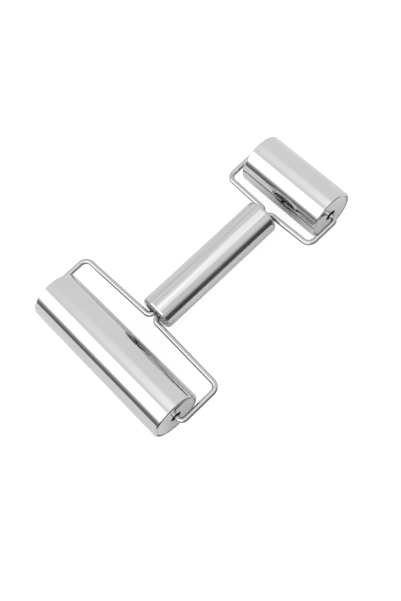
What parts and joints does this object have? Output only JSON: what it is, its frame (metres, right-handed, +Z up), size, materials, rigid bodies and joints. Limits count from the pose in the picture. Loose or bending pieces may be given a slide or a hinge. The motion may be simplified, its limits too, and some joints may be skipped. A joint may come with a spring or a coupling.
{
  "type": "double-ended steel brayer",
  "caption": "Double-ended hand roller: a long and a short polished steel roller, each turning in its own wire frame, on the two ends of one tubular steel handle.",
  "frame": {"origin": "on the surface the two rollers rest on, under the middle of the whole length", "axes": "+X along the handle from the large roller to the small one, +Y along the roller axes, +Z up from the resting surface"},
  "size_m": [0.188, 0.1224, 0.033],
  "materials": {
    "roller_mirror_steel": "mirror-polished stainless steel tube",
    "cap_polished_steel": "pressed stainless steel, polished",
    "bush_nylon": "moulded black nylon",
    "handle_satin_steel": "stainless steel tube, satin finish drawn along its length",
    "end_plate_steel": "stamped stainless steel disc",
    "ferrule_steel": "drawn stainless steel sleeve",
    "wire_polished_steel": "polished stainless steel spring wire"
  },
  "bodies": {
    "handle": {"handle_tube": "handle_satin_steel", "handle_end_plate_large": "end_plate_steel", "handle_end_plate_small": "end_plate_steel", "stem_ferrule_large": "ferrule_steel", "stem_ferrule_small": "ferrule_steel", "large_frame_wire_left": "wire_polished_steel", "large_frame_wire_right": "wire_polished_steel", "small_frame_wire_left": "wire_polished_steel", "small_frame_wire_right": "wire_polished_steel"},
    "large_roller": {"large_roller_tube": "roller_mirror_steel", "large_roller_cap_left": "cap_polished_steel", "large_roller_bush_left": "bush_nylon", "large_roller_cap_right": "cap_polished_steel", "large_roller_bush_right": "bush_nylon"},
    "small_roller": {"small_roller_tube": "roller_mirror_steel", "small_roller_cap_left": "cap_polished_steel", "small_roller_bush_left": "bush_nylon", "small_roller_cap_right": "cap_polished_steel", "small_roller_bush_right": "bush_nylon"}
  },
  "joints": [
    {"name": "large_roller_spin", "type": "hinge", "parent": "handle", "child": "large_roller", "pos_m": [-0.0775, 0, 0.0165], "axis": [0, 1, 0], "continuous": true},
    {"name": "small_roller_spin", "type": "hinge", "parent": "handle", "child": "small_roller", "pos_m": [0.0775, 0, 0.0165], "axis": [0, 1, 0], "continuous": true}
  ]
}
